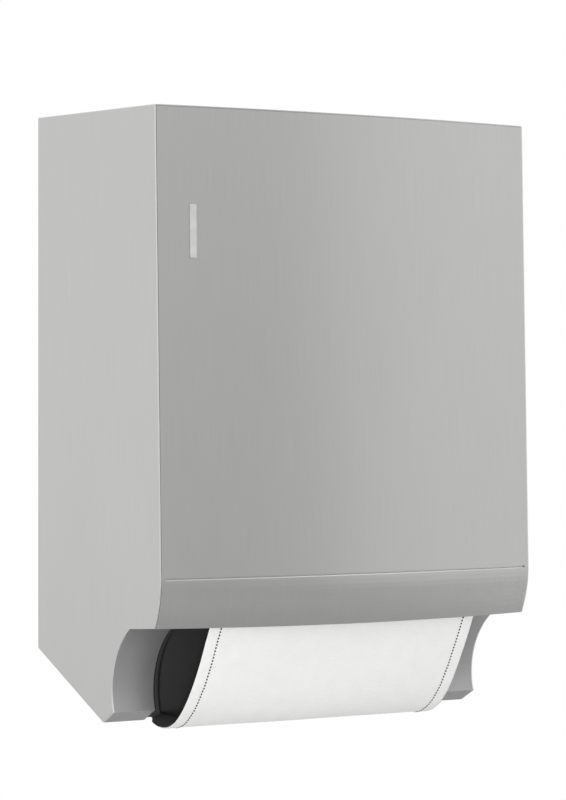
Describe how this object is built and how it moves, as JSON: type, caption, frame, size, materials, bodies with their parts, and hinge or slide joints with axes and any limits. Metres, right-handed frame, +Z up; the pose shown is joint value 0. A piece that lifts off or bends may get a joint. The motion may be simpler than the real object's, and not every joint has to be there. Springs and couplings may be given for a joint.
{
  "type": "cloth towel dispenser",
  "caption": "Wall-mounted cabinet with a bowed steel hood that feeds a loop of cotton towel from a clean roll and winds the used towel back inside.",
  "frame": {"origin": "centre of the four wall screws, on the wall plane", "axes": "+Z up, +Y into the wall, so the front faces -Y; +X to the right of a person at the wall, facing it"},
  "size_m": [0.4052, 0.208, 0.5256],
  "materials": {
    "stainless": "vertical brush, satin",
    "grey_moulding": "semi-gloss metallic grey",
    "black_moulding": "semi-gloss",
    "window_white": "satin",
    "nickel": "polished",
    "zinc_plate": "zinc plated",
    "frame_grey": "moulded, matt",
    "bright_steel": "ground bar",
    "rubber": "matt",
    "cotton": "woven cotton",
    "gear_white": "acetal, satin",
    "felt": "felt",
    "card": "pressed card, matt"
  },
  "bodies": {
    "chassis": {"wall_plate": "zinc_plate", "side_frame_left": "frame_grey", "side_frame_right": "frame_grey", "roll_partition": "frame_grey", "lower_panel": "frame_grey", "towel_tray": "black_moulding", "exit_bar": "black_moulding", "pressure_pivot": "bright_steel", "drum_bushes": "black_moulding", "takeup_bushes": "black_moulding", "one_way_clutch": "zinc_plate", "idler_stud": "bright_steel", "level_stud": "bright_steel", "hinge_brackets": "zinc_plate", "hinge_pins": "bright_steel", "lock_keeper": "zinc_plate", "hood_bumpers": "rubber", "frame_screws": "bright_steel", "towel_feed": "cotton", "towel_loop": "cotton", "towel_return": "cotton"},
    "hood": {"hood_front": "stainless", "hood_top": "stainless", "hood_side_left": "stainless", "hood_side_right": "stainless", "cheek_left": "grey_moulding", "cheek_right": "grey_moulding", "hinge_boss_left": "stainless", "hinge_boss_right": "stainless", "level_window": "window_white", "lock_body": "nickel", "lock_nut": "nickel"},
    "lock": {"lock_plug": "nickel", "lock_cam": "zinc_plate", "cam_screw": "zinc_plate"},
    "drum": {"drum_shaft": "bright_steel", "drum_core": "frame_grey", "drum_sleeve": "rubber", "drum_gear": "gear_white", "drum_clip": "zinc_plate"},
    "pressure_arms": {"pressure_arm_left": "zinc_plate", "pressure_arm_right": "zinc_plate", "pressure_shaft": "bright_steel", "pressure_spring_left": "zinc_plate", "pressure_spring_right": "zinc_plate"},
    "press_roll": {"pressure_roller": "frame_grey", "pressure_sleeve": "rubber"},
    "idler": {"idler_gear": "gear_white"},
    "takeup_drive": {"takeup_gear": "gear_white"},
    "takeup": {"takeup_spindle": "bright_steel", "soiled_roll": "cotton", "clutch_felt": "felt", "clutch_collar": "zinc_plate"},
    "clean": {"clean_core": "card", "core_plugs": "black_moulding", "clean_roll": "cotton"},
    "level": {"level_arm": "black_moulding", "level_flag": "window_white"}
  },
  "joints": [
    {"name": "hood_tilt", "type": "hinge", "parent": "chassis", "child": "hood", "pos_m": [0, -0.024, -0.2095], "axis": [1, 0, 0], "range_deg": [0, 60]},
    {"name": "lock_turn", "type": "hinge", "parent": "hood", "child": "lock", "pos_m": [0, -0.03, 0.23], "axis": [0, 0, 1], "range_deg": [-90, 0]},
    {"name": "drum_spin", "type": "hinge", "parent": "chassis", "child": "drum", "pos_m": [0, -0.142, -0.1], "axis": [1, 0, 0], "continuous": true},
    {"name": "idler_spin", "type": "hinge", "parent": "chassis", "child": "idler", "pos_m": [0, -0.09596, -0.05554], "axis": [1, 0, 0], "continuous": true},
    {"name": "takeup_gear_spin", "type": "hinge", "parent": "chassis", "child": "takeup_drive", "pos_m": [0, -0.07601, -0.01409], "axis": [1, 0, 0], "continuous": true},
    {"name": "takeup_spin", "type": "hinge", "parent": "chassis", "child": "takeup", "pos_m": [0, -0.07601, -0.01409], "axis": [1, 0, 0], "continuous": true},
    {"name": "clean_spin", "type": "hinge", "parent": "chassis", "child": "clean", "pos_m": [0, -0.096, 0.12791], "axis": [1, 0, 0], "continuous": true},
    {"name": "pressure_swing", "type": "hinge", "parent": "chassis", "child": "pressure_arms", "pos_m": [0, -0.1777, -0.058], "axis": [1, 0, 0], "range_deg": [-6, 0], "stiffness_Nm_per_rad": 0.5, "springref_deg": 22.92},
    {"name": "pressure_spin", "type": "hinge", "parent": "pressure_arms", "child": "press_roll", "pos_m": [0, -0.1788, -0.1], "axis": [1, 0, 0], "continuous": true},
    {"name": "level_swing", "type": "hinge", "parent": "chassis", "child": "level", "pos_m": [0, -0.034, 0.17791], "axis": [1, 0, 0], "range_deg": [-8, 0]}
  ],
  "couplings": [
    {"joint": "idler_spin", "follows": "drum_spin", "ratio": -0.88235},
    {"joint": "takeup_gear_spin", "follows": "drum_spin", "ratio": 2.5},
    {"joint": "takeup_spin", "follows": "drum_spin", "ratio": 0.70588},
    {"joint": "clean_spin", "follows": "drum_spin", "ratio": 0.36364},
    {"joint": "pressure_spin", "follows": "drum_spin", "ratio": -2.1818}
  ]
}
